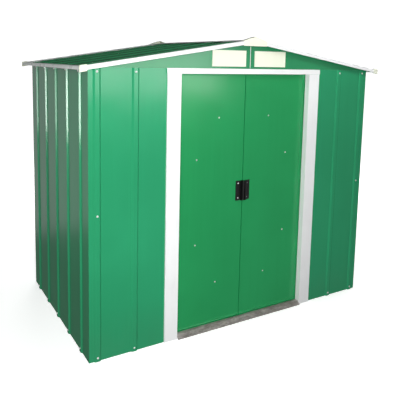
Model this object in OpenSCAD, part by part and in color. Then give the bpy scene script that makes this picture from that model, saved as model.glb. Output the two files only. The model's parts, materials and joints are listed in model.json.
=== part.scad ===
// Metal storage shed: ribbed steel walls, a low apex roof with its ridge
// running front to back, and two sliding door leaves in a white frame.
// Millimetres. X across the front, Y from front (-) to rear (+), Z up.
// The origin is on the ground, under the middle of the shed.

/* [Walls] */
// Width over the side wall pans
shed_w = 2060; // [1980:10:2140]
// Depth over the front and rear wall pans
shed_d = 1220; // [1180:10:1260]
// Height of the wall sheets, up to the foot of the gables
wall_h = 1634; // [1560:1:1680]
// Thickness of the sheets
sheet_t = 1.5; // [1:0.1:2]
// Height of the ribs in the wall sheets
rib_h = 8; // [6:1:10]
// Width of a rib at its foot
rib_base = 44; // [36:1:48]
// Width of a rib's flat crest
rib_crest = 24; // [16:1:28]
// Distance between the ribs of a side wall
side_pitch = 236; // [226:1:240]
// Distance between the ribs of the front and rear walls
front_pitch = 220; // [216:1:222]

/* [Roof] */
// Height of the roof sheet's pans at the ridge, over the top of the wall sheets
ridge_rise = 170; // [165:1:185]
// Height of the roof sheet's pans at the eave edge, over the top of the wall sheets
eave_rise = -5; // [-5:1:0]
// How far the roof reaches past the side walls
eave_out = 57; // [55:1:64]
// How far the roof reaches past the front and rear walls
verge_out = 50; // [46:1:56]
// Height of the roof ribs
roof_rib_h = 7; // [6:1:9]
// Thickness of the rails, posts and trims
trim_t = 1.5; // [1:0.1:2]

/* [Doorway] */
// Width of the clear opening between the jambs
door_w = 966; // [940:2:980]
// Width of a jamb's white face
jamb_w = 87; // [80:1:92]
// Height of the header's white face
head_h = 31; // [28:1:40]
// How far the door frame stands in front of the wall pans
frame_out = 10; // [6:1:14]
// Depth from the frame's face to the door leaves
door_recess = 45; // [42:1:50]
// Gap between the two closed leaves
door_gap = 6; // [5:0.5:8]
// How far a closed leaf reaches behind its jamb
door_lap = 20; // [14:1:24]
// Thickness of a leaf over its folded edges
leaf_d = 20; // [16:1:24]

/* [Handles] */
// Height of the middle of the handles
handle_z = 862; // [780:1:940]
// Height of a handle
handle_h = 127; // [110:1:140]
// Width of a handle's flat plate
handle_w = 36; // [30:1:40]
// How far the pull stands out from the leaf
handle_out = 28; // [20:1:32]

/* [Hidden] */
$fn = 48;

green = [0.16, 0.58, 0.36];
dark_green = [0.12, 0.30, 0.20];
white = [0.93, 0.94, 0.94];
cream = [0.96, 0.97, 0.89];
zinc = [0.66, 0.68, 0.68];
black = [0.06, 0.06, 0.06];

hw = shed_w / 2;
hd = shed_d / 2;
he = hw + eave_out;
hv = hd + verge_out;
ridge_z = wall_h + ridge_rise;
eave_z = wall_h + eave_rise;
head_z = wall_h - head_h;
slope = atan((ridge_z - eave_z) / he);
// Heights at distance x from the ridge line
function zpan(x) = ridge_z - abs(x) * tan(slope);
function zcrest(x) = zpan(x) + roof_rib_h / cos(slope);
function zunder(x) = zpan(x) - sheet_t / cos(slope);

// Jamb, frame and leaf planes
jamb_in = door_w / 2;
jamb_out = jamb_in + jamb_w;
y_frame = -hd - frame_out;
y_leaf = y_frame + door_recess;
leaf_w = jamb_in + door_lap - door_gap / 2;
leaf_z0 = 12;
leaf_z1 = head_z + 10;
track_z0 = head_z + 2;

// A sheet's section: flat pans at v = 0 and a trapezoid rib at each centre
function rib_pts(cs, h, b, c) = [for (x = cs) for (p = [[x - b/2, 0], [x - c/2, h], [x + c/2, h], [x + b/2, 0]]) p];
function flip(l) = [for (i = [len(l) - 1:-1:0]) l[i]];
function sheet_pts(u0, u1, cs, h, b, c, t) =
    let (o = concat([[u0, 0]], rib_pts(cs, h, b, c), [[u1, 0]]))
    concat(o, flip([for (p = o) [p[0], p[1] - t]]));

module along_y(y0, y1) translate([0, y1, 0]) rotate([90, 0, 0]) linear_extrude(y1 - y0) children();
module along_x(x0, x1) translate([x0, 0, 0]) rotate([90, 0, 90]) linear_extrude(x1 - x0) children();
module block(a, b) translate(a) cube([b[0] - a[0], b[1] - a[1], b[2] - a[2]]);

// Ground rails, each an L with its foot turned inward
module base_rail_right() color(zinc)
    along_y(y_frame + 86, hd - 2)
        polygon([[hw - 42, 0], [hw - 2, 0], [hw - 2, 30], [hw - 3.5, 30], [hw - 3.5, 1.5], [hw - 42, 1.5]]);
module base_rail_left() mirror([1, 0, 0]) base_rail_right();
module base_rail_rear() color(zinc)
    along_x(-hw + 43, hw - 43)
        polygon([[hd - 42, 0], [hd - 2, 0], [hd - 2, 30], [hd - 3.5, 30], [hd - 3.5, 1.5], [hd - 42, 1.5]]);

// Front ground rail with the two low lips that keep the leaves in line
module front_bottom_track() color(zinc)
    along_x(-hw + 40, hw - 40)
        polygon([[-hd + 3, 0], [y_leaf + leaf_d + 15, 0], [y_leaf + leaf_d + 15, 1.5],
                 [y_leaf + leaf_d + 8.5, 1.5], [y_leaf + leaf_d + 8.5, 17], [y_leaf + leaf_d + 7, 17], [y_leaf + leaf_d + 7, 1.5],
                 [y_leaf - 7, 1.5], [y_leaf - 7, 17], [y_leaf - 8.5, 17], [y_leaf - 8.5, 1.5],
                 [-hd + 4.5, 1.5], [-hd + 4.5, 9], [-hd + 3, 9]]);

// Galvanised ramp in the doorway, up to the front lip of the track
module threshold_ramp() color(zinc)
    along_x(-jamb_in + 0.5, jamb_in - 0.5)
        polygon([[y_frame - 12, 0], [y_frame - 10.5, 0], [y_frame - 10.5, 4.5], [y_frame + 20, 18.5], [y_leaf - 6, 18.5],
                 [y_leaf - 6, 20], [y_frame + 19.5, 20], [y_frame - 12, 6]]);

// Corner posts, an angle behind the front or rear sheet and the side sheet
module corner_post(y) color(zinc)
    translate([0, 0, 2])
        linear_extrude(track_z0 + 8 - 2)
            polygon([[hw - 65, y], [hw - 4.5, y], [hw - 4.5, y + 32], [hw - 6, y + 32], [hw - 6, y + 1.5], [hw - 65, y + 1.5]]);
module corner_post_front_right() corner_post(-hd + 5.5);
module corner_post_front_left() mirror([1, 0, 0]) corner_post_front_right();
module corner_post_rear_right() mirror([0, 1, 0]) corner_post(-hd + 5.5);
module corner_post_rear_left() mirror([1, 0, 0]) corner_post_rear_right();

// Ribbed wall sheets
module side_wall_right() color(green)
    translate([hw, 0, 0]) rotate([0, 0, -90])
        linear_extrude(wall_h)
            polygon(sheet_pts(-hd + sheet_t, hd - sheet_t, [for (i = [-2:2]) i * side_pitch], rib_h, rib_base, rib_crest, sheet_t));
module side_wall_left() mirror([1, 0, 0]) side_wall_right();
module rear_wall() color(green)
    translate([0, hd, 0])
        linear_extrude(wall_h)
            polygon(sheet_pts(-hw, hw, [for (i = [-4:5]) (i - 0.5) * front_pitch - 8 * sign(i - 0.5)], rib_h, rib_base, rib_crest, sheet_t));
module front_wall_left() color(green)
    translate([0, -hd, 0]) rotate([0, 0, 180])
        linear_extrude(wall_h)
            polygon(sheet_pts(jamb_in + 12, hw, [982 - front_pitch - 1030 + hw, 982 - 1030 + hw], rib_h, rib_base, rib_crest, sheet_t));
module front_wall_right() mirror([1, 0, 0]) front_wall_left();

// White door frame: a U-shaped jamb each side and a header over both
module door_jamb_left() color(white)
    mirror([1, 0, 0]) difference() {
        linear_extrude(head_z - 0.5)
            polygon([[jamb_in, y_frame], [jamb_out, y_frame], [jamb_out, -hd], [jamb_out - trim_t, -hd], [jamb_out - trim_t, y_frame + trim_t],
                     [jamb_in + trim_t, y_frame + trim_t], [jamb_in + trim_t, y_leaf - 5.5], [jamb_in, y_leaf - 5.5]]);
        block([jamb_in - 1, -hd + 2, -1], [jamb_in + 3, y_leaf, 20.5]);
    }
module door_jamb_right() mirror([1, 0, 0]) door_jamb_left();
module door_header() color(white) {
    along_x(-jamb_out - 4, jamb_out + 4)
        polygon([[y_frame, head_z], [y_frame + trim_t, head_z], [y_frame + trim_t, wall_h - trim_t],
                 [-hd - 0.3, wall_h - trim_t], [-hd - 0.3, wall_h], [y_frame, wall_h]]);
    block([-jamb_in + 0.3, y_frame, head_z], [jamb_in - 0.3, y_leaf - 5.5, head_z + trim_t]);
}

// Channel over the leaves, open downward, and the rails on the other walls
module door_top_track() color(zinc)
    along_x(-hw + 40, hw - 40)
        polygon([[-hd + 3, track_z0], [-hd + 4.5, track_z0], [-hd + 4.5, wall_h - 1.5], [y_leaf + leaf_d + 11.5, wall_h - 1.5],
                 [y_leaf + leaf_d + 11.5, track_z0], [y_leaf + leaf_d + 13, track_z0], [y_leaf + leaf_d + 13, wall_h], [-hd + 3, wall_h]]);
module top_rail_right() color(zinc)
    along_y(-hd + 12, hd - 12)
        polygon([[hw - 2, wall_h - 27], [hw - 2, wall_h], [hw - 38, wall_h], [hw - 38, wall_h - 1.5], [hw - 3.5, wall_h - 1.5], [hw - 3.5, wall_h - 27]]);
module top_rail_left() mirror([1, 0, 0]) top_rail_right();
module top_rail_rear() color(zinc)
    along_x(-hw + 45, hw - 45)
        polygon([[hd - 2, wall_h - 27], [hd - 2, wall_h], [hd - 42, wall_h], [hd - 42, wall_h - 1.5], [hd - 3.5, wall_h - 1.5], [hd - 3.5, wall_h - 27]]);

// Flat gable sheets in two halves, each with a lip turned out along its foot;
// the left one carries the raised joint
module gable_half() polygon([[0, wall_h + 0.3], [hw, wall_h + 0.3], [hw, zunder(hw) - 0.5], [0, zunder(0) - 0.5]]);
module gable_sheet() {
    along_y(-hd, -hd + sheet_t) gable_half();
    block([0, -hd - 2, wall_h + 0.3], [hw, -hd, wall_h + 1.8]);
}
module gable_front_right() color(green) gable_sheet();
module gable_front_left() color(green) {
    mirror([1, 0, 0]) gable_sheet();
    along_y(-hd - 2.5, -hd) polygon([[-3.5, wall_h + 2], [3.5, wall_h + 2], [3.5, zunder(4) - 1], [-3.5, zunder(4) - 1]]);
}
module gable_rear_right() mirror([0, 1, 0]) gable_front_right();
module gable_rear_left() mirror([0, 1, 0]) gable_front_left();

// Moulded vent plates, a raised border round a set-back field
module vent() {
    w = 242; h = 97; x = 33; z = wall_h + 13;
    difference() {
        block([x, -hd - 5, z], [x + w, -hd, z + h]);
        block([x + 9, -hd - 6, z + 9], [x + w - 9, -hd - 3, z + h - 9]);
    }
}
module gable_vents() color(cream)
    for (i = [0, 1], j = [0, 1]) mirror([i, 0, 0]) mirror([0, j, 0]) vent();

// Roof
module ridge_beam() color(zinc)
    along_y(-hd + 4, hd - 4)
        polygon([[-20, zunder(20) - 30], [20, zunder(20) - 30], [20, zunder(20) - 1], [18.5, zunder(20) - 1], [18.5, zunder(20) - 28.5],
                 [-18.5, zunder(20) - 28.5], [-18.5, zunder(20) - 1], [-20, zunder(20) - 1]]);
module roof_panel_right() color(dark_green)
    translate([0, 0, ridge_z]) rotate([0, slope, 0])
        along_x(5, (he - 6) / cos(slope))
            polygon(sheet_pts(-hv + 5, hv - 5, [for (i = [-2:2]) i * side_pitch], roof_rib_h, rib_base, rib_crest, sheet_t));
module roof_panel_left() mirror([1, 0, 0]) roof_panel_right();
module ridge_cap() color(zinc)
    along_y(-hv + 29, hv - 29)
        polygon([[0, zcrest(0) + 0.4], [55, zcrest(55) + 0.4], [55, zcrest(55) + 1.9], [0, zcrest(0) + 1.9],
                 [-55, zcrest(55) + 1.9], [-55, zcrest(55) + 0.4]]);

// White verge trims, a channel round the roof's sloping edge
verge_t = roof_rib_h + 2;
module verge_trim_front_right() color(white)
    intersection() {
        translate([0, 0, ridge_z]) rotate([0, slope, 0])
            along_x(-20, (he - 24) / cos(slope))
                polygon([[-hv + 28, verge_t], [-hv + 3, verge_t], [-hv, verge_t - 6], [-hv, verge_t - 22.5], [-hv + 12, verge_t - 22.5],
                         [-hv + 12, verge_t - 22.5 + trim_t], [-hv + trim_t, verge_t - 22.5 + trim_t], [-hv + trim_t, verge_t - 6],
                         [-hv + 4, verge_t - trim_t], [-hv + 28, verge_t - trim_t]]);
        block([0.1, -hv - 1, wall_h - 130], [he + 10, -hv + 60, ridge_z + 100]);
    }
module verge_trim_front_left() mirror([1, 0, 0]) verge_trim_front_right();
module verge_trim_rear_right() mirror([0, 1, 0]) verge_trim_front_right();
module verge_trim_rear_left() mirror([1, 0, 0]) verge_trim_rear_right();

// Eave trims, a channel over the low end of the roof sheet
module eave_trim_right() color(zinc)
    along_y(-hv + 12, hv - 12)
        polygon([[he - 18, zcrest(he - 18) + 0.4], [he - 18, zcrest(he - 18) + 1.9], [he, zcrest(he) + 1.9], [he, eave_z - 9],
                 [he - 22, eave_z - 9], [he - 22, eave_z - 7.5], [he - 1.5, eave_z - 7.5], [he - 1.5, zcrest(he - 1.5) + 0.4]]);
module eave_trim_left() mirror([1, 0, 0]) eave_trim_right();

// Moulded caps over the four eave corners, hollow behind
module corner_cap() difference() {
    along_y(-hv - 3, -hv + 10)
        polygon([[he - 37, zcrest(he - 37) + 7], [he + 2, zcrest(he + 2) + 7], [he + 2, zpan(he + 2) - 20], [he - 37, zpan(he - 37) - 20]]);
    along_y(-hv - 0.5, -hv + 40)
        polygon([[he - 45, zcrest(he - 45) + 4.5], [he + 0.3, zcrest(he + 0.3) + 4.5], [he + 0.3, zpan(he + 0.3) - 17.5], [he - 45, zpan(he - 45) - 17.5]]);
}
module eave_corner_caps() color(cream)
    for (i = [0, 1], j = [0, 1]) mirror([i, 0, 0]) mirror([0, j, 0]) corner_cap();

// Ridge end caps, a shallow five-sided plate with a top that turns back
module ridge_end_cap() {
    along_y(-hv - 4, -hv - 1)
        polygon([[0, zcrest(0) + 18], [86, zcrest(86) + 5.5], [86, zpan(86) - 18], [-86, zpan(86) - 18], [-86, zcrest(86) + 5.5]]);
    along_y(-hv - 1, -hv + 34)
        polygon([[0, zcrest(0) + 18], [86, zcrest(86) + 5.5], [86, zcrest(86) + 3], [0, zcrest(0) + 15.5], [-86, zcrest(86) + 3], [-86, zcrest(86) + 5.5]]);
}
module ridge_end_caps() color(cream)
    for (j = [0, 1]) mirror([0, j, 0]) ridge_end_cap();

// Sliding leaves: a pressed and folded sheet tray, its K-shaped braces and its handle.
// A rim at the jamb side, the top and the foot stands in front of the tray's field.
rim = 4;
y_field = y_leaf + rim;
module leaf_form(e, back) difference() {
    block([door_gap/2 + e, y_leaf + e, leaf_z0 + e], [door_gap/2 + leaf_w - e, back, leaf_z1 - e]);
    intersection() {
        translate([0, 0, leaf_z0 - 1]) linear_extrude(leaf_z1 - leaf_z0 + 2)
            polygon([[-1, y_leaf - 1], [jamb_in - 8 + e/2, y_leaf - 1], [jamb_in - 8 + e/2, y_leaf + e], [jamb_in - 13 + e/2, y_field + e], [-1, y_field + e]]);
        along_x(-2, door_gap/2 + leaf_w + 1)
            polygon([[y_leaf - 2, leaf_z0 + 21 - e/2], [y_leaf + e, leaf_z0 + 21 - e/2], [y_field + e + 1, leaf_z0 + 26.6 - e/2],
                     [y_field + e + 1, leaf_z1 - 21.6 + e/2], [y_leaf + e, leaf_z1 - 16 + e/2], [y_leaf - 2, leaf_z1 - 16 + e/2]]);
    }
}
module door_leaf() difference() {
    leaf_form(0, y_leaf + leaf_d);
    leaf_form(sheet_t, y_leaf + leaf_d + 1);
}
module door_right_leaf() color(green) door_leaf();
module door_left_leaf() mirror([1, 0, 0]) door_right_leaf();
// Strip behind the left leaf's edge that closes the gap from inside
module door_left_seam_strip() color(green) mirror([1, 0, 0])
    translate([0, 0, leaf_z0 + 28])
        linear_extrude(leaf_z1 - leaf_z0 - 66)
            polygon([[30, y_leaf + leaf_d], [30, y_leaf + leaf_d + sheet_t], [door_gap/2 + 3, y_leaf + leaf_d + sheet_t], [door_gap/2 + 3, y_leaf + leaf_d + 5 + sheet_t],
                     [-14, y_leaf + leaf_d + 5 + sheet_t], [-14, y_leaf + leaf_d + 5], [door_gap/2 + 1, y_leaf + leaf_d + 5], [door_gap/2 + 1, y_leaf + leaf_d]]);

brace_m = 823;
module brace(x0, z0, x1, z1) {
    a = atan2(z1 - z0, x1 - x0);
    l = sqrt(pow(x1 - x0, 2) + pow(z1 - z0, 2));
    translate([x0, y_field + sheet_t, z0]) rotate([0, -a, 0])
        along_x(-30, l + 30)
            polygon([[0, -15], [0, -13.5], [9, -13.5], [9, 13.5], [0, 13.5], [0, 15], [10.5, 15], [10.5, -15]]);
}
module door_right_braces() color(zinc)
    intersection() {
        union() {
            brace(30, leaf_z1, jamb_in + 5, brace_m + 4);
            brace(30, leaf_z0, jamb_in + 5, brace_m - 4);
        }
        block([door_gap/2 + 6, y_leaf, leaf_z0 + 32], [jamb_in - 18, y_leaf + leaf_d, leaf_z1 - 28]);
    }
module door_left_braces() mirror([1, 0, 0]) door_right_braces();

module door_right_handle() color(black) {
    x0 = 4; x1 = 4 + 12; x2 = 16 + handle_w;
    translate([0, 0, handle_z - handle_h/2]) {
        linear_extrude(handle_h)
            polygon([[x1, y_field - 4], [x2 - 2, y_field - 4], [x2, y_field - 2], [x2, y_field], [x1, y_field]]);
        along_x(x0, x1)
            polygon([[y_field, 0], [y_field, handle_h], [y_field - handle_out + 6, handle_h + 4], [y_field - handle_out, handle_h],
                     [y_field - handle_out, 14], [y_field - handle_out + 10, 0]]);
    }
}
module door_left_handle() mirror([1, 0, 0]) door_right_handle();

base_rail_left();
base_rail_right();
base_rail_rear();
front_bottom_track();
threshold_ramp();
corner_post_front_left();
corner_post_front_right();
corner_post_rear_left();
corner_post_rear_right();
side_wall_left();
side_wall_right();
rear_wall();
front_wall_left();
front_wall_right();
door_jamb_left();
door_jamb_right();
door_header();
door_top_track();
top_rail_left();
top_rail_right();
top_rail_rear();
gable_front_left();
gable_front_right();
gable_rear_left();
gable_rear_right();
gable_vents();
ridge_beam();
roof_panel_left();
roof_panel_right();
ridge_cap();
verge_trim_front_left();
verge_trim_front_right();
verge_trim_rear_left();
verge_trim_rear_right();
eave_trim_left();
eave_trim_right();
eave_corner_caps();
ridge_end_caps();
door_left_leaf();
door_left_seam_strip();
door_left_braces();
door_left_handle();
door_right_leaf();
door_right_braces();
door_right_handle();
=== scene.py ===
import json
import math

import bmesh
import bpy
from mathutils import Matrix, Vector


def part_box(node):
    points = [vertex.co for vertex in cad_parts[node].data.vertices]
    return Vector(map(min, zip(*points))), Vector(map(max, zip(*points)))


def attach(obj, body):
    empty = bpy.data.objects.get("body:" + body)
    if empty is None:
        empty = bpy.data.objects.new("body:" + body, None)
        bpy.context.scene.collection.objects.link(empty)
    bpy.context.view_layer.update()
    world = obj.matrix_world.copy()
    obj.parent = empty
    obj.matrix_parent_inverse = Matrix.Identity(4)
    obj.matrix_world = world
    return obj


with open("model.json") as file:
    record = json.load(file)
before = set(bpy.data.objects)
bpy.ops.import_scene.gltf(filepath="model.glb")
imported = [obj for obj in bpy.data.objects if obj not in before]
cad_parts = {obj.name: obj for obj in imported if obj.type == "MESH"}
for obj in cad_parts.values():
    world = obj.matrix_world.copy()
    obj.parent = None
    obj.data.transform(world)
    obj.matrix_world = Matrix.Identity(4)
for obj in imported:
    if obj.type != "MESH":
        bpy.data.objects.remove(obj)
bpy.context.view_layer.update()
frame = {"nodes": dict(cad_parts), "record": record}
scene = bpy.context.scene

# ------------------------------------------------------------------ sizes
MM = 0.001
lo = lambda n: Vector(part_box(n)[0])
hi = lambda n: Vector(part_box(n)[1])


def sizes():
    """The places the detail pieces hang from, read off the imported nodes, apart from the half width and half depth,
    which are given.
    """
    s = {}
    s["wall_h"] = hi("front_wall_left").z
    s["hw"] = 1.030
    s["hd"] = 0.610
    s["y_wall"] = -s["hd"]
    s["y_crest"] = lo("front_wall_left").y
    s["x_crest"] = hi("side_wall_right").x
    s["y_frame"] = lo("door_header").y
    s["y_leaf"] = lo("door_right_leaf").y
    s["head_z"] = lo("door_header").z
    s["jamb_in"] = hi("threshold_ramp").x + 0.0005
    s["jamb_out"] = hi("door_jamb_right").x
    s["ridge"] = hi("ridge_cap").z
    s["he"] = hi("eave_trim_right").x
    s["hv"] = hi("verge_trim_rear_left").y
    return s


S = sizes()
FRONT_RIBS = (0.982, 0.762)
SIDE_RIBS = (-0.472, -0.236, 0.0, 0.236, 0.472)
REAR_RIBS = [(i - 0.5) * 0.220 - 0.008 * (1 if i > 0 else -1) for i in range(-4, 6)]
ridge_pan = 1.804
eave_pan = 1.629
slope = math.atan((ridge_pan - eave_pan) / S["he"])


def zpan(x):
    return ridge_pan - abs(x) * math.tan(slope)


# ------------------------------------------------------------------ node helper
class Tree:
    """Small wrapper that builds a shader node tree."""

    def __init__(self, name):
        self.mat = bpy.data.materials.new(name)
        self.mat.use_nodes = True
        self.nt = self.mat.node_tree
        self.nt.nodes.clear()
        self.out = self.nt.nodes.new("ShaderNodeOutputMaterial")
        self.bsdf = self.nt.nodes.new("ShaderNodeBsdfPrincipled")
        self.link(self.bsdf.outputs[0], self.out.inputs[0])
        self.tc = self.nt.nodes.new("ShaderNodeTexCoord")
        self.obj = self.tc.outputs["Object"]

    def link(self, a, b):
        self.nt.links.new(a, b)

    def put(self, sock, v):
        if v is None:
            return
        if hasattr(v, "is_output"):
            self.link(v, sock)
        elif isinstance(v, (tuple, list)) and len(v) == 3 and sock.type == "RGBA":
            sock.default_value = (*v, 1.0)
        else:
            sock.default_value = v

    def math(self, op, a, b=None, c=None, clamp=False):
        n = self.nt.nodes.new("ShaderNodeMath")
        n.operation = op
        n.use_clamp = clamp
        for i, v in enumerate((a, b, c)):
            if v is not None:
                self.put(n.inputs[i], v)
        return n.outputs[0]

    def vmath(self, op, a, b=None):
        n = self.nt.nodes.new("ShaderNodeVectorMath")
        n.operation = op
        self.put(n.inputs[0], a)
        if b is not None:
            self.put(n.inputs[1], b)
        return n.outputs[0]

    def noise(self, scale, detail=3.0, rough=0.55, vec=None, stretch=None, lac=2.0, dist=0.0):
        v = vec if vec is not None else self.obj
        if stretch:
            v = self.vmath("MULTIPLY", v, stretch)
        n = self.nt.nodes.new("ShaderNodeTexNoise")
        self.link(v, n.inputs["Vector"])
        n.inputs["Scale"].default_value = scale
        n.inputs["Detail"].default_value = detail
        n.inputs["Roughness"].default_value = rough
        n.inputs["Lacunarity"].default_value = lac
        n.inputs["Distortion"].default_value = dist
        return n.outputs[0]

    def voronoi(self, scale, vec=None, feature="F1", rand=1.0, out="Distance", stretch=None):
        v = vec if vec is not None else self.obj
        if stretch:
            v = self.vmath("MULTIPLY", v, stretch)
        n = self.nt.nodes.new("ShaderNodeTexVoronoi")
        n.feature = feature
        self.link(v, n.inputs["Vector"])
        n.inputs["Scale"].default_value = scale
        n.inputs["Randomness"].default_value = rand
        return n.outputs[out]

    def ramp(self, v, a, b, lo=0.0, hi=1.0, smooth=True):
        n = self.nt.nodes.new("ShaderNodeMapRange")
        n.clamp = True
        n.interpolation_type = "SMOOTHSTEP" if smooth else "LINEAR"
        self.put(n.inputs["Value"], v)
        n.inputs["From Min"].default_value = a
        n.inputs["From Max"].default_value = b
        n.inputs["To Min"].default_value = lo
        n.inputs["To Max"].default_value = hi
        return n.outputs[0]

    def mix(self, f, a, b, mode="MIX"):
        n = self.nt.nodes.new("ShaderNodeMix")
        n.data_type = "RGBA"
        n.blend_type = mode
        self.put(n.inputs[0], f)
        self.put(n.inputs[6], a)
        self.put(n.inputs[7], b)
        return n.outputs[2]

    def sep(self):
        n = self.nt.nodes.new("ShaderNodeSeparateXYZ")
        self.link(self.obj, n.inputs[0])
        return n.outputs

    def bump(self, height, strength, dist, normal=None):
        n = self.nt.nodes.new("ShaderNodeBump")
        n.inputs["Strength"].default_value = strength
        n.inputs["Distance"].default_value = dist
        self.link(height, n.inputs["Height"])
        if normal is not None:
            self.link(normal, n.inputs["Normal"])
        return n.outputs[0]

    def edges(self, size, tight=0.02):
        """1 on edges, 0 elsewhere, used for worn edges and for the painted highlight on zinc edges: compares a rounded
        normal with the true one.
        """
        bev = self.nt.nodes.new("ShaderNodeBevel")
        bev.samples = 4
        bev.inputs["Radius"].default_value = size
        geo = self.nt.nodes.new("ShaderNodeNewGeometry")
        d = self.nt.nodes.new("ShaderNodeVectorMath")
        d.operation = "DOT_PRODUCT"
        self.link(bev.outputs[0], d.inputs[0])
        self.link(geo.outputs["True Normal"], d.inputs[1])
        return self.ramp(d.outputs["Value"], 1.0 - tight, 1.0 - tight * 6, 0.0, 1.0), bev.outputs[0]

    def set(self, **kw):
        names = {
            "color": "Base Color", "rough": "Roughness", "metal": "Metallic", "normal": "Normal",
            "ior": "IOR", "spec": "Specular IOR Level", "coat": "Coat Weight", "coat_rough": "Coat Roughness",
            "coat_ior": "Coat IOR", "aniso": "Anisotropic", "coat_normal": "Coat Normal",
        }
        for k, v in kw.items():
            self.put(self.bsdf.inputs[names[k]], v)
        return self.mat


def paint(name, col, dark, light, rough=0.2, waves=1.0, ripples=1.0, dust=0.0, spec=0.5, peel=1.0, run=(1.0, 1.0, 0.03)):
    """Gloss paint on thin rolled sheet: slow tone drift, rolling streaks along run, dust towards the ground, the sheet's shallow waves and a fine orange peel."""
    t = Tree(name)
    x, y, z = t.sep()
    drift = t.noise(1.3, 3.0, 0.5)
    c = t.mix(t.ramp(drift, 0.34, 0.66, 0.0, 1.0), dark, light)
    streak = t.noise(34.0, 4.0, 0.6, stretch=run)
    c = t.mix(t.ramp(streak, 0.40, 0.72, 0.0, 0.5), c, col)
    rub = t.noise(7.0, 5.0, 0.62, stretch=tuple(min(1.0, v * 10.0) for v in run))
    c = t.mix(t.ramp(rub, 0.50, 0.85, 0.0, 0.12), c, tuple(v * 0.78 for v in col))
    edge, _ = t.edges(0.0012)
    c = t.mix(t.math("MULTIPLY", edge, 0.16), c, tuple(min(1.0, v * 1.35 + 0.03) for v in light))
    r = t.ramp(t.noise(4.0, 5.0, 0.62), 0.3, 0.7, rough * 0.82, rough * 1.2)
    if dust:
        foot = t.math("MULTIPLY", t.ramp(z, 0.34, 0.0, 0.0, 1.0), t.ramp(t.noise(9.0, 3.0, 0.5), 0.25, 0.75, 0.45, 1.0))
        c = t.mix(t.math("MULTIPLY", foot, dust), c, (0.16, 0.17, 0.14))
        r = t.math("ADD", r, t.math("MULTIPLY", foot, 0.08))
    fine = t.noise(420.0, 1.5, 0.45)
    n = t.bump(fine, 0.012 * peel, 0.0004)
    ripple = t.noise(30.0, 1.0, 0.4, stretch=run)
    n = t.bump(ripple, 0.05 * ripples, 0.0012, n)
    wave = t.noise(2.3, 1.0, 0.4, stretch=tuple(min(1.0, v * 8.0) for v in run))
    n = t.bump(wave, 0.10 * waves, 0.008, n)
    return t.set(color=c, rough=r, normal=n, spec=spec)


def zinc(name, base, bright, rough=0.42, grime=0.0, metal=0.65):
    """Galvanised steel: small crystal spangle with a grain of its own, dulled patches, paler edges that are partly wear
    and partly a painted highlight.
    """
    t = Tree(name)
    cell = t.voronoi(95.0, out="Color")
    sepc = t.nt.nodes.new("ShaderNodeSeparateColor")
    t.link(cell, sepc.inputs[0])
    c = t.mix(sepc.outputs[0], base, bright)
    mott = t.noise(18.0, 5.0, 0.65)
    c = t.mix(t.ramp(mott, 0.40, 0.72, 0.0, 0.55), c, tuple(v * 0.62 for v in base))
    if grime:
        g = t.noise(42.0, 6.0, 0.7, stretch=(0.35, 1.0, 1.0))
        c = t.mix(t.ramp(g, 0.38, 0.62, 0.0, grime), c, (0.075, 0.062, 0.050))
    edge, _ = t.edges(0.0015)
    # paler edges: partly wear, partly a painted highlight, such as the bright line along the threshold's rear edge
    c = t.mix(t.math("MULTIPLY", edge, 0.45), c, (0.62, 0.63, 0.63))
    r = t.ramp(t.noise(30.0, 4.0, 0.6), 0.3, 0.7, rough * 0.8, rough * 1.3)
    n = t.bump(t.noise(120.0, 3.0, 0.6, stretch=(0.2, 1.0, 1.0)), 0.10, 0.0006)
    n = t.bump(sepc.outputs[1], 0.05, 0.0004, n)
    return t.set(color=c, rough=r, metal=metal, normal=n)


def trim(name, col, rough=0.34, dirt=0.06, spec=0.5):
    """Smooth painted trim: faint drift, thin handling grime and a soft edge."""
    t = Tree(name)
    drift = t.noise(4.0, 3.0, 0.5)
    c = t.mix(t.ramp(drift, 0.35, 0.68, 0.0, 1.0), col, tuple(v * 0.955 for v in col))
    grime = t.noise(26.0, 6.0, 0.7, stretch=(1.0, 1.0, 0.25))
    c = t.mix(t.ramp(grime, 0.52, 0.78, 0.0, dirt), c, (0.30, 0.29, 0.25))
    edge, _ = t.edges(0.0014)
    c = t.mix(t.math("MULTIPLY", edge, 0.30), c, tuple(min(1.0, v * 1.1) for v in col))
    r = t.ramp(t.noise(9.0, 4.0, 0.6), 0.3, 0.7, rough * 0.85, rough * 1.2)
    n = t.bump(t.noise(240.0, 2.0, 0.5), 0.05, 0.0005)
    n = t.bump(t.noise(3.6, 1.5, 0.45), 0.12, 0.006, n)
    return t.set(color=c, rough=r, normal=n, spec=spec)


def plastic(name, col, dark, rough=0.5, grain=900.0):
    """Moulded plastic: fine spark-eroded grain, slight flow marks, rubbed edges."""
    t = Tree(name)
    flow = t.noise(16.0, 4.0, 0.6, dist=1.2)
    c = t.mix(t.ramp(flow, 0.35, 0.70, 0.0, 1.0), col, dark)
    edge, _ = t.edges(0.0016)
    c = t.mix(t.math("MULTIPLY", edge, 0.30), c, tuple(min(1.0, v * 1.25 + 0.02) for v in col))
    r = t.ramp(t.noise(60.0, 3.0, 0.6), 0.3, 0.7, rough * 0.85, rough * 1.2)
    n = t.bump(t.noise(grain, 2.0, 0.5), 0.12, 0.0003)
    return t.set(color=c, rough=r, normal=n)


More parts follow.
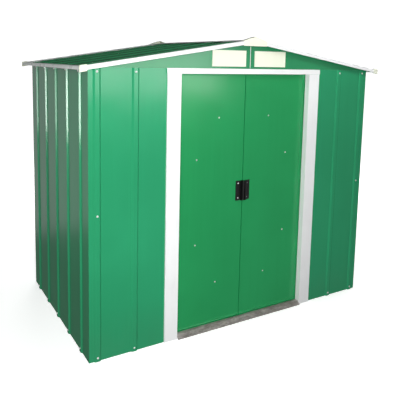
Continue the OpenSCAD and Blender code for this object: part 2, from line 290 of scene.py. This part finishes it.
MATS = {
    "wall": paint("green_wall_sheet", (0.021, 0.305, 0.132), (0.019, 0.286, 0.122), (0.023, 0.325, 0.142), rough=0.17, waves=0.5, ripples=2.6, dust=0.06, peel=0.12),
    "door": paint("green_door_sheet", (0.016, 0.305, 0.094), (0.014, 0.286, 0.086), (0.018, 0.325, 0.102), rough=0.18, waves=0.6, ripples=2.0, peel=0.08),
    # the roof gets a darker copy of the wall green, which paints part of the roof's shade into its colour
    "roof": paint("green_roof_sheet", (0.026, 0.235, 0.092), (0.023, 0.212, 0.082), (0.030, 0.258, 0.102), rough=0.17, waves=0.10, ripples=0.45, peel=0.15, run=(0.03, 1.0, 0.03)),
    "white": trim("white_trim", (0.93, 0.945, 0.945)),
    "grey": trim("grey_trim", (0.90, 0.95, 0.92), rough=0.30, dirt=0.12),
    "cream": trim("cream_plastic", (0.90, 0.93, 0.77), rough=0.45, dirt=0.05),
    "zinc": zinc("zinc_frame", (0.42, 0.44, 0.45), (0.58, 0.60, 0.61)),
    "ramp": zinc("zinc_threshold", (0.385, 0.335, 0.325), (0.50, 0.455, 0.445), rough=0.55, grime=0.50, metal=0.25),
    "black": plastic("black_handle", (0.0045, 0.0048, 0.0050), (0.0085, 0.0088, 0.0090), rough=0.42),
    "bolt": zinc("zinc_bolt", (0.80, 0.81, 0.80), (0.90, 0.91, 0.90), rough=0.34, metal=0.2),
    "screw": zinc("handle_screw", (0.90, 0.91, 0.91), (0.98, 0.98, 0.98), rough=0.30, metal=0.0),
    # the gable sheets get a darker copy of the wall green: painted shade
    "gable": paint("green_gable_sheet_painted_shade", (0.026, 0.258, 0.104), (0.023, 0.240, 0.096), (0.029, 0.276, 0.112), rough=0.18, waves=0.6, peel=0.1),
}
SLOT_MAT = {
    "green_wall_sheet": "wall", "green_door_sheet": "door", "green_roof_sheet": "roof", "white_trim": "white",
    "grey_trim": "grey", "cream_plastic": "cream", "zinc_frame": "zinc", "zinc_threshold": "ramp", "black_handle": "black",
}
for part in frame["record"]["subparts"]:
    o = frame["nodes"][part["node"]]
    # gable sheets take the darker gable copy, which paints shade, in place of the wall green
    m = MATS["gable" if part["node"].startswith("gable_front") or part["node"].startswith("gable_rear") else SLOT_MAT[part["material_slot"]]]
    if not o.data.materials:
        o.data.materials.append(m)
    for i in range(len(o.data.materials)):
        o.data.materials[i] = m


# ------------------------------------------------------------------ detail pieces
def piece(name, bm, mat, body, bevel=None, smooth=True):
    me = bpy.data.meshes.new(name)
    bm.normal_update()
    bm.to_mesh(me)
    bm.free()
    o = bpy.data.objects.new(name, me)
    scene.collection.objects.link(o)
    me.materials.append(MATS[mat])
    if bevel:
        b = o.modifiers.new("edge", "BEVEL")
        b.width, b.segments, b.limit_method, b.angle_limit = bevel, 2, "ANGLE", math.radians(40)
    if smooth:
        for p in me.polygons:
            p.use_smooth = True
        a = o.modifiers.new("normals", "WEIGHTED_NORMAL")
        a.keep_sharp = True
    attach(o, body)
    return o


def axis_frame(p, n):
    """A frame at p whose Z is n."""
    n = Vector(n).normalized()
    up = Vector((0, 0, 1)) if abs(n.z) < 0.9 else Vector((0, 1, 0))
    u = up.cross(n).normalized()
    v = n.cross(u)
    m = Matrix((u, v, n)).transposed().to_4x4()
    m.translation = Vector(p)
    return m


def lathe(bm, profile, m, seg=16, turn=0.0):
    """Rings of profile points (radius, height) turned about the frame's Z, closed at both ends."""
    rings = []
    for r, h in profile:
        if r <= 1e-7:
            rings.append([bm.verts.new(m @ Vector((0, 0, h)))])
        else:
            rings.append([bm.verts.new(m @ Vector((r * math.cos(turn + 2 * math.pi * i / seg), r * math.sin(turn + 2 * math.pi * i / seg), h))) for i in range(seg)])
    for a, b in zip(rings, rings[1:]):
        for i in range(seg):
            j = (i + 1) % seg
            if len(a) == 1:
                bm.faces.new((a[0], b[i], b[j]))
            elif len(b) == 1:
                bm.faces.new((a[i], a[j], b[0]))
            else:
                bm.faces.new((a[i], a[j], b[j], b[i]))
    if len(rings[0]) > 1:
        bm.faces.new(list(reversed(rings[0])))
    if len(rings[-1]) > 1:
        bm.faces.new(rings[-1])


def hex_bolt(bm, p, n, size=1.0, turn=0.0):
    """A small roofing bolt: a plastic-free washer, a domed round head with a slot across."""
    m = axis_frame(p, n)
    k = size * MM
    lathe(bm, [(6.0 * k, -0.2 * k), (6.2 * k, 0.3 * k), (5.9 * k, 0.9 * k), (5.0 * k, 1.0 * k)], m, 20)
    lathe(bm, [(4.6 * k, 0.8 * k), (4.6 * k, 1.6 * k), (4.1 * k, 2.5 * k), (3.0 * k, 3.1 * k), (1.6 * k, 3.35 * k), (0, 3.4 * k)], m, 20)
    slot(bm, m, 3.6 * k, 0.55 * k, 3.15 * k, 3.55 * k, turn)


def slot(bm, m, half_l, half_w, z0, z1, turn):
    """The bar of a screw slot, a thin rounded strip let into the head."""
    c, s = math.cos(turn), math.sin(turn)
    pts = [(-half_l, -half_w), (half_l, -half_w), (half_l, half_w), (-half_l, half_w)]
    low = [bm.verts.new(m @ Vector((x * c - y * s, x * s + y * c, z0))) for x, y in pts]
    top = [bm.verts.new(m @ Vector((x * c - y * s, x * s + y * c, z1))) for x, y in pts]
    bm.faces.new(list(reversed(low)))
    bm.faces.new(top)
    for i in range(4):
        j = (i + 1) % 4
        bm.faces.new((low[i], low[j], top[j], top[i]))


def bolts(name, places, body, size=1.0, mat="bolt"):
    bm = bmesh.new()
    for k, (p, n) in enumerate(places):
        hex_bolt(bm, p, n, size, turn=0.7 + 1.9 * k)
    return piece(name, bm, mat, body)


yc = S["y_crest"]
front = []
for sgn in (-1, 1):
    for x in FRONT_RIBS:
        for z in (0.022, 0.835, 1.612):
            if z == 0.835 and x == FRONT_RIBS[1]:
                continue
            front.append(((sgn * x, yc, z), (0, -1, 0)))
bolts("wall_bolts_front", front, "shed")
xc = S["x_crest"]
for sgn, nm in ((-1, "left"), (1, "right")):
    bolts(f"wall_bolts_{nm}", [((sgn * xc, y, z), (sgn, 0, 0)) for y in SIDE_RIBS for z in (0.022, 1.612)], "shed")
bolts("wall_bolts_rear", [((x, -yc, z), (0, 1, 0)) for x in REAR_RIBS for z in (0.022, 0.835, 1.612) if z != 0.835 or abs(x) > 0.9], "shed")

yl = S["y_leaf"] + 0.004
for sgn, nm in ((-1, "left"), (1, "right")):
    bolts(f"door_bolts_{nm}", [((sgn * x, yl, z), (0, -1, 0)) for x, z in ((0.190, 1.335), (0.190, 0.285), (0.343, 1.083), (0.343, 0.550))], f"door_{nm}", 0.8)



def loft(bm, outline, m, rings):
    """A closed outline (x, y) in the frame m, stacked in rings of (inset, height), capped at both ends."""
    n = len(outline)
    c = Vector((sum(p[0] for p in outline) / n, sum(p[1] for p in outline) / n))
    rows = []
    for inset, h in rings:
        row = []
        for x, y in outline:
            d = Vector((x, y)) - c
            row.append(bm.verts.new(m @ Vector((x - math.copysign(min(inset, abs(d.x)), d.x), y - math.copysign(min(inset, abs(d.y)), d.y), h))))
        rows.append(row)
    for a, b in zip(rows, rows[1:]):
        for i in range(n):
            j = (i + 1) % n
            bm.faces.new((a[i], a[j], b[j], b[i]))
    bm.faces.new(list(reversed(rows[0])))
    bm.faces.new(rows[-1])


def rounded(x0, y0, x1, y1, r, seg=4):
    """Corner-rounded rectangle, counter-clockwise."""
    pts = []
    for cx, cy, a0 in ((x1 - r, y0 + r, -90), (x1 - r, y1 - r, 0), (x0 + r, y1 - r, 90), (x0 + r, y0 + r, 180)):
        for i in range(seg + 1):
            a = math.radians(a0 + 90 * i / seg)
            pts.append((cx + r * math.cos(a), cy + r * math.sin(a)))
    return pts


def cross_screw(bm, p, n, r=4.9):
    """A pan-head screw with a cross cut into its head."""
    m = axis_frame(p, n)
    k = MM
    lathe(bm, [(r * k, -0.2 * k), (r * k, 0.5 * k), (0.93 * r * k, 1.1 * k), (0.78 * r * k, 1.55 * k), (0.58 * r * k, 1.75 * k), (0.50 * r * k, 0.9 * k), (0, 0.8 * k)], m, 24)
    for a in (0.35, 0.35 + math.pi / 2):
        slot(bm, m, 0.56 * r * k, 0.32 * k, 0.7 * k, 1.45 * k, a)


HZ = (lo("door_right_handle").z + hi("door_right_handle").z) / 2 - 0.002
for sgn, nm in ((-1, "left"), (1, "right")):
    yp = S["y_leaf"]
    sx = sgn * (0.0355 if sgn < 0 else 0.0305)
    bm = bmesh.new()
    for dz in (-0.047, 0.047):
        cross_screw(bm, (sx, yp, HZ + dz), (0, -1, 0))
    piece(f"handle_screws_{nm}", bm, "screw", f"door_{nm}")
    # moulded border of the plate and the recessed cups around the screws
    bm = bmesh.new()
    m = Matrix(((1, 0, 0, 0), (0, 0, -1, yp), (0, 1, 0, 0), (0, 0, 0, 1)))
    xa, xb = sorted((sgn * 0.0180, sgn * 0.0515))
    za, zb = HZ - 0.0615, HZ + 0.0615
    for bx0, bz0, bx1, bz1 in ((xa, za, xb, za + 0.0022), (xa, zb - 0.0022, xb, zb), (xa + 0.0001, za + 0.0018, xa + 0.0021, zb - 0.0018), (xb - 0.0021, za + 0.0018, xb - 0.0001, zb - 0.0018)):
        loft(bm, rounded(bx0, bz0, bx1, bz1, 0.0005, 2), m, [(0, -0.0002), (0, 0.0007), (0.0004, 0.0012)])
    for dz in (-0.047, 0.047):
        lathe(bm, [(0.0068, -0.0002), (0.0068, 0.0008), (0.0062, 0.0013), (0.0054, 0.0013), (0.0050, 0.0004), (0.0, 0.0003)], axis_frame((sx, yp, HZ + dz), (0, -1, 0)), 28)
    piece(f"handle_moulding_{nm}", bm, "black", f"door_{nm}")
    # rolled hem along the foot of the leaf: a rounded bead that stands just proud of the rim
    bm = bmesh.new()
    x0, x1 = sorted((sgn * 0.0055, sgn * (S["jamb_in"] - 0.010)))
    prof = [(0.0003, 0.0205), (-0.0012, 0.0215), (-0.0026, 0.0238), (-0.0038, 0.0265), (-0.0044, 0.0285), (-0.0041, 0.0305), (-0.0028, 0.0325), (-0.0010, 0.0336), (0.0003, 0.0340)]
    rows = []
    N = 24
    for i in range(N + 1):
        x = x0 + (x1 - x0) * i / N
        e = 0.55 if i in (0, N) else 1.0
        rows.append([bm.verts.new((x, yp + (dy * e if dy < 0 else dy), 0.0280 + (z - 0.0280) * e)) for dy, z in prof])
    k = len(prof)
    for a, b in zip(rows, rows[1:]):
        for i in range(k):
            j = (i + 1) % k
            bm.faces.new((a[i], b[i], b[j], a[j]))
    bm.faces.new(list(reversed(rows[0])))
    bm.faces.new(rows[-1])
    bmesh.ops.recalc_face_normals(bm, faces=bm.faces)
    piece(f"door_hem_{nm}", bm, "door", f"door_{nm}")

# the gable's joint: a narrow rounded bead from the wall up to the trim, in pale bolt zinc that paints the light line
# along the joint as a painted highlight
for sgn, nm in ((-1, "front"), (1, "rear")):
    bm = bmesh.new()
    yj = sgn * (S["hd"] + 0.0025)
    z0, z1 = S["wall_h"] + 0.003, ridge_pan - 0.030
    prof = [(-0.0022, -0.0003), (-0.0020, 0.0006), (-0.0012, 0.0013), (0.0, 0.0016), (0.0012, 0.0013), (0.0020, 0.0006), (0.0022, -0.0003)]
    rows = []
    for i in range(13):
        z = z0 + (z1 - z0) * i / 12
        e = 0.6 if i in (0, 12) else 1.0
        rows.append([bm.verts.new((dx * e, yj + sgn * (dy * e if dy > 0 else dy), z)) for dx, dy in prof])
    k = len(prof)
    for a, b in zip(rows, rows[1:]):
        for i in range(k):
            j = (i + 1) % k
            bm.faces.new((a[i], b[i], b[j], a[j]))
    bm.faces.new(list(reversed(rows[0])))
    bm.faces.new(rows[-1])
    bmesh.ops.recalc_face_normals(bm, faces=bm.faces)
    piece(f"gable_seam_highlight_{nm}", bm, "bolt", "shed")

# ------------------------------------------------------------------ floor, light, camera
def glow(name, base, strength, scale):
    """Pale studio surface that lights itself a little, so that only soft contact shadows show."""
    t = Tree(name)
    sweep = t.noise(scale, 3.0, 0.5)
    t.set(color=t.mix(sweep, tuple(v * 0.985 for v in base), base), rough=0.9, spec=0.0)
    r = t.nt.nodes.new("ShaderNodeVectorMath")
    r.operation = "LENGTH"
    t.link(t.obj, r.inputs[0])
    far = t.ramp(r.outputs["Value"], 1.6, 4.5, strength, 1.1)
    t.link(t.mix(far, (0.0, 0.0, 0.0), (1.0, 1.0, 1.0)), t.bsdf.inputs["Emission Color"])
    t.bsdf.inputs["Emission Strength"].default_value = 1.05
    return t.mat


def stage_mesh(name, rings_at, mat, n_seg=96, inward=False):
    """A disc or dome of rings (radius, height), seen by the camera only."""
    bm = bmesh.new()
    rings = []
    for r, h in rings_at:
        if r:
            rings.append([bm.verts.new((r * math.cos(2 * math.pi * i / n_seg), r * math.sin(2 * math.pi * i / n_seg), h)) for i in range(n_seg)])
        else:
            rings.append([bm.verts.new((0, 0, h))])
    for a, b in zip(rings, rings[1:]):
        for i in range(n_seg):
            j = (i + 1) % n_seg
            if len(a) == 1:
                bm.faces.new((a[0], b[i], b[j]))
            elif len(b) == 1:
                bm.faces.new((a[i], b[0], a[j]))
            else:
                bm.faces.new((a[i], b[i], b[j], a[j]))
    me = bpy.data.meshes.new(name)
    bm.to_mesh(me)
    bm.free()
    me.materials.append(mat)
    o = bpy.data.objects.new(name, me)
    scene.collection.objects.link(o)
    o.visible_diffuse = o.visible_glossy = o.visible_transmission = o.visible_shadow = False
    return o


stage_mesh("studio_floor", [(0.0, 0.0), (3.0, 0.0), (9.0, 0.0), (60.0, 0.0)], glow("studio_floor", (0.80, 0.80, 0.80), 0.55, 0.6))
stage_mesh("studio_backdrop", [(60.0 * math.cos(math.radians(a)), 60.0 * math.sin(math.radians(a))) for a in range(-30, 90, 10)] + [(0.0, 60.0)], glow("studio_backdrop", (0.8, 0.8, 0.8), 1.0, 0.05))

world = bpy.data.worlds.new("studio")
scene.world = world
world.use_nodes = True
wt = world.node_tree
bg = wt.nodes["Background"]


def world_light():
    """Dim studio room around the object: darker ceiling, a grey wall behind, a dark floor."""
    tc = wt.nodes.new("ShaderNodeTexCoord")
    sp = wt.nodes.new("ShaderNodeSeparateXYZ")
    wt.links.new(tc.outputs["Generated"], sp.inputs[0])

    def ramp(sock, a, b, lo, hi):
        n = wt.nodes.new("ShaderNodeMapRange")
        n.clamp, n.interpolation_type = True, "SMOOTHSTEP"
        wt.links.new(sock, n.inputs["Value"])
        for k, v in (("From Min", a), ("From Max", b), ("To Min", lo), ("To Max", hi)):
            n.inputs[k].default_value = v
        return n.outputs[0]

    def op(kind, a, b):
        n = wt.nodes.new("ShaderNodeMath")
        n.operation = kind
        for i, v in enumerate((a, b)):
            if hasattr(v, "is_output"):
                wt.links.new(v, n.inputs[i])
            else:
                n.inputs[i].default_value = v
        return n.outputs[0]

    z = sp.outputs[2]
    back = ramp(sp.outputs[1], -0.2, 0.6, 0.0, 1.0)
    # behind: dark floor, a grey wall up to the horizon, darkness above
    rear = op("ADD", op("MULTIPLY", ramp(z, -0.335, -0.295, 0.0, 1.0), ramp(z, -0.02, 0.10, WALL_GREY, CEILING)), op("MULTIPLY", ramp(z, -0.335, -0.295, 1.0, 0.0), FLOOR_GREY))
    front = ramp(z, -0.5, 0.3, 0.16, AMBIENT)
    val = op("ADD", op("MULTIPLY", back, rear), op("MULTIPLY", op("SUBTRACT", 1.0, back), front))
    comb = wt.nodes.new("ShaderNodeCombineColor")
    for i in range(3):
        wt.links.new(val, comb.inputs[i])
    wt.links.new(comb.outputs[0], bg.inputs[0])
    bg.inputs[1].default_value = 1.0


WALL_GREY, CEILING, FLOOR_GREY, AMBIENT = 0.42, 0.055, 0.12, 0.25
world_light()


def area(name, pos, target, sx, sy, power, diffuse=True, glossy=True):
    li = bpy.data.lights.new(name, "AREA")
    li.shape, li.size, li.size_y, li.energy = "RECTANGLE", sx, sy, power
    o = bpy.data.objects.new(name, li)
    scene.collection.objects.link(o)
    o.location = pos
    o.rotation_euler = (Vector(target) - Vector(pos)).to_track_quat("-Z", "Y").to_euler()
    o.visible_camera = False
    o.visible_diffuse = diffuse
    o.visible_glossy = glossy
    return o


# the main softbox beside the camera, five narrow strips at the left for the gloss of the ribs,
# one in front for the sheen under the roof, and soft fills for the far sides
area("key", (-1.75, -2.95, 1.62), (-0.45, -0.6, 1.0), 1.0, 1.0, 84.0, glossy=False)
area("key_top", (0.80, -1.60, 2.30), (0.65, -0.6, 1.72), 0.6, 0.3, 5.5, glossy=False)
for i, (y, power) in enumerate(((-0.72, 11.0), (-0.43, 12.0), (-0.14, 2.2), (0.15, 10.0), (0.42, 4.0))):
    area(f"strip_left_{i}", (-3.7, y, 1.22), (-1.03, y, 1.22), 0.15, 0.72, power, diffuse=False)
area("softbox_front", (1.3, -5.0, 2.0), (-0.6, -0.6, 1.7), 2.4, 1.7, 58.0, diffuse=False)
area("fill_rear", (1.2, 5.0, 2.6), (0.0, 0.6, 0.8), 2.6, 2.0, 130.0, glossy=False)
area("fill_right", (5.0, 0.9, 2.4), (1.0, 0.0, 0.9), 2.4, 2.0, 70.0, glossy=False)

CAM = dict(f=517.837, pos=(-1.9032, -3.211, 1.6816), yaw=30.8672, pitch=-7.1431, roll=1.2535, px=200.0, py=125.0)


def camera():
    yaw, pit, rol = (math.radians(CAM[k]) for k in ("yaw", "pitch", "roll"))
    fwd = Vector((math.sin(yaw) * math.cos(pit), math.cos(yaw) * math.cos(pit), math.sin(pit)))
    right0 = Vector((math.cos(yaw), -math.sin(yaw), 0))
    up0 = right0.cross(fwd)
    right = right0 * math.cos(rol) + up0 * math.sin(rol)
    up = -right0 * math.sin(rol) + up0 * math.cos(rol)
    cd = bpy.data.cameras.new("camera")
    cd.sensor_fit, cd.sensor_width = "HORIZONTAL", 36.0
    cd.lens = CAM["f"] / 400.0 * 36.0
    cd.shift_x = (200.0 - CAM["px"]) / 400.0
    cd.shift_y = (CAM["py"] - 200.0) / 400.0
    cd.clip_end = 300.0
    o = bpy.data.objects.new("camera", cd)
    scene.collection.objects.link(o)
    m = Matrix((right, up, -fwd)).transposed().to_4x4()
    m.translation = Vector(CAM["pos"])
    o.matrix_world = m
    scene.camera = o


camera()
scene.view_settings.view_transform = "Standard"
